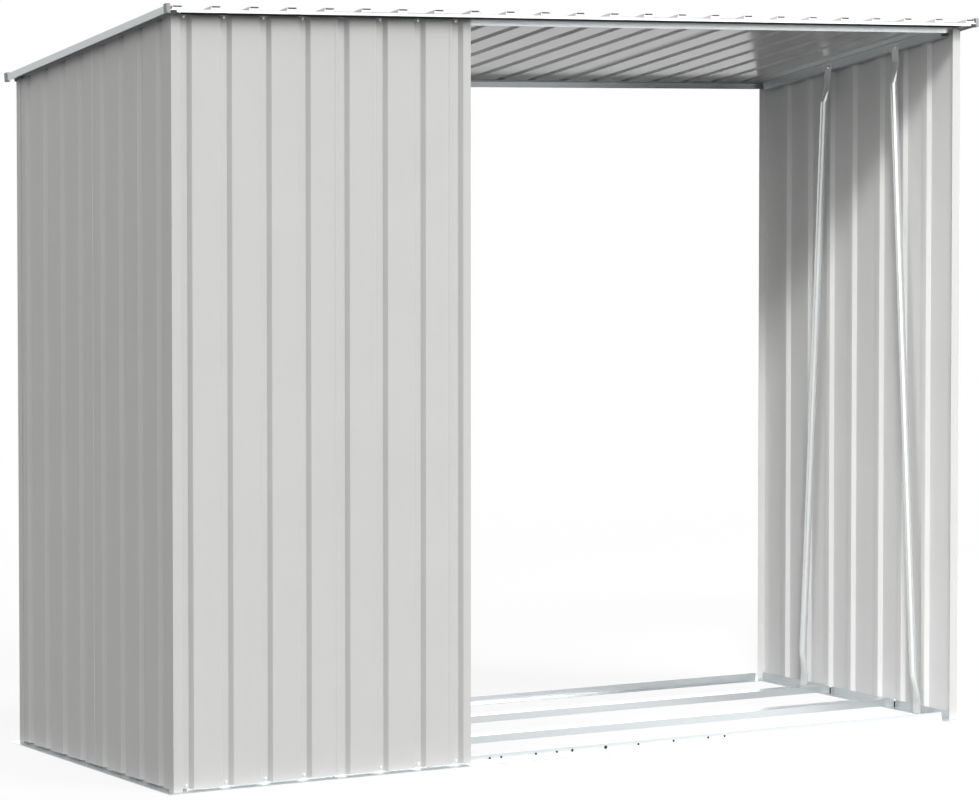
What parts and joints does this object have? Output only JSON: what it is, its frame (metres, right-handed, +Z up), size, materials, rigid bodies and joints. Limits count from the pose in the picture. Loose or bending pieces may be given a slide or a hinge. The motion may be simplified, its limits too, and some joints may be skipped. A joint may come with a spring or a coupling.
{
  "type": "log store",
  "caption": "Lean-to log store of ribbed light grey sheet steel on galvanised rails, with a closed bay at the left and a wide bay that is open at the front and back.",
  "frame": {"origin": "centre of the underside of the whole store, at ground level", "axes": "+X along the front to the right, +Y from the front to the back, +Z up"},
  "size_m": [2.4448, 0.9924, 1.9207],
  "materials": {
    "coated_sheet": "satin",
    "galvanised_steel": "satin",
    "closure_plastic": "matt",
    "cap_plastic": "matt"
  },
  "bodies": {
    "root": {"back_bay_post": "coated_sheet", "back_left_corner_post": "coated_sheet", "back_left_roof_cap": "cap_plastic", "back_right_corner_post": "coated_sheet", "back_right_roof_cap": "cap_plastic", "back_wall_sheet_left": "coated_sheet", "back_wall_sheet_right": "coated_sheet", "base_rail_back": "galvanised_steel", "base_rail_front": "galvanised_steel", "base_rail_left": "galvanised_steel", "base_rail_right": "galvanised_steel", "floor_rail_front": "galvanised_steel", "floor_rail_rear": "galvanised_steel", "front_bay_post": "coated_sheet", "front_left_corner_post": "coated_sheet", "front_left_roof_cap": "cap_plastic", "front_right_corner_post": "coated_sheet", "front_right_roof_cap": "cap_plastic", "front_wall_sheet_left": "coated_sheet", "front_wall_sheet_right": "coated_sheet", "left_brace_front": "galvanised_steel", "left_brace_rear": "galvanised_steel", "left_wall_sheet_front": "coated_sheet", "left_wall_sheet_rear": "coated_sheet", "rib_plugs_back": "closure_plastic", "rib_plugs_front": "closure_plastic", "right_brace_front": "galvanised_steel", "right_brace_rear": "galvanised_steel", "right_wall_sheet_front": "coated_sheet", "right_wall_sheet_rear": "coated_sheet", "roof_edge_back": "galvanised_steel", "roof_edge_front": "galvanised_steel", "roof_sheet_1": "coated_sheet", "roof_sheet_2": "coated_sheet", "roof_sheet_3": "coated_sheet", "roof_sheet_4": "coated_sheet", "roof_sheet_5": "coated_sheet", "roof_sheet_6": "coated_sheet", "roof_trim_left": "galvanised_steel", "roof_trim_right": "galvanised_steel", "top_rail_back": "galvanised_steel", "top_rail_front": "galvanised_steel", "top_rail_left": "galvanised_steel", "top_rail_right": "galvanised_steel"}
  },
  "joints": []
}
